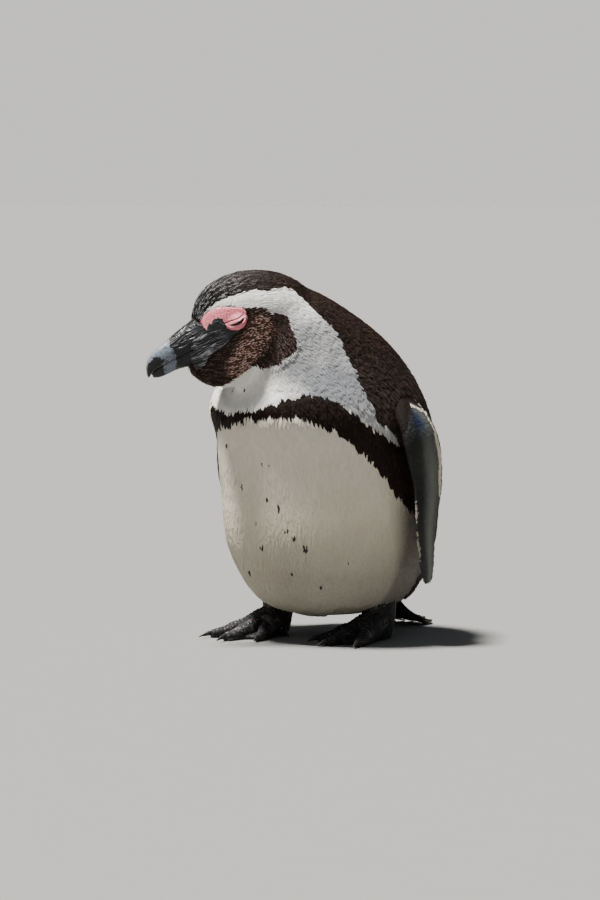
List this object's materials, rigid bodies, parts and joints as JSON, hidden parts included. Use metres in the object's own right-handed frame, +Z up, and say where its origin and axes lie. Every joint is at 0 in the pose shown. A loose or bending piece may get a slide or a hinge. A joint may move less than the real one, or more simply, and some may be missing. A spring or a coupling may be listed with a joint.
{
  "type": "african penguin",
  "caption": "Life-size standing penguin, hunched with its head bowed and turned aside, a still museum-style model that rests on its webbed feet and tail",
  "frame": {"origin": "middle of the footprint of the whole bird's box, on the floor that the soles and the tail rest on", "axes": "+Z up, the longest extent from the floor to the crown; -Y ahead, the way the breast faces, with the tail at +Y; +X the bird's left side, across the body, the shortest extent. The head is turned 40 degrees to the bird's right."},
  "size_m": [0.2155, 0.2901, 0.314],
  "materials": {
    "bill_lower": "black horn, slightly glossy, with a pale grey band near the tip",
    "bill_upper": "black horn, slightly glossy, wrinkled lengthwise, with a pale grey band near the tip",
    "claw_left_1": "black horn claw",
    "claw_left_2": "black horn claw",
    "claw_left_3": "black horn claw",
    "claw_left_4": "black horn claw",
    "claw_right_1": "black horn claw",
    "claw_right_2": "black horn claw",
    "claw_right_3": "black horn claw",
    "claw_right_4": "black horn claw",
    "eye_left": "wet dark brown eye",
    "eye_right": "wet dark brown eye",
    "flipper_left": "slate-black flipper of tiny scale-like feathers with a cream trailing edge",
    "flipper_right": "slate-black flipper of tiny scale-like feathers with a cream trailing edge",
    "foot_left": "black scaly skin mottled with grey and pink",
    "foot_right": "black scaly skin mottled with grey and pink",
    "head": "short dense feathers: black face and crown, white band over the eye, pink bare skin before the eye",
    "leg_left": "short dense cream-white feathers",
    "leg_right": "short dense cream-white feathers",
    "lid_lower_left": "bare pink skin",
    "lid_lower_right": "bare pink skin",
    "lid_upper_left": "bare pink skin",
    "lid_upper_right": "bare pink skin",
    "neck": "dense feathers: white throat and sides, black-brown nape and breast band",
    "tail": "stiff black-brown feathers",
    "torso": "dense feathers: cream-white belly with small dark spots, black-brown back and flank band"
  },
  "bodies": {
    "root": {"bill_lower": "bill_lower", "bill_upper": "bill_upper", "claw_left_1": "claw_left_1", "claw_left_2": "claw_left_2", "claw_left_3": "claw_left_3", "claw_left_4": "claw_left_4", "claw_right_1": "claw_right_1", "claw_right_2": "claw_right_2", "claw_right_3": "claw_right_3", "claw_right_4": "claw_right_4", "eye_left": "eye_left", "eye_right": "eye_right", "flipper_left": "flipper_left", "flipper_right": "flipper_right", "foot_left": "foot_left", "foot_right": "foot_right", "head": "head", "leg_left": "leg_left", "leg_right": "leg_right", "lid_lower_left": "lid_lower_left", "lid_lower_right": "lid_lower_right", "lid_upper_left": "lid_upper_left", "lid_upper_right": "lid_upper_right", "neck": "neck", "tail": "tail", "torso": "torso"}
  },
  "joints": []
}
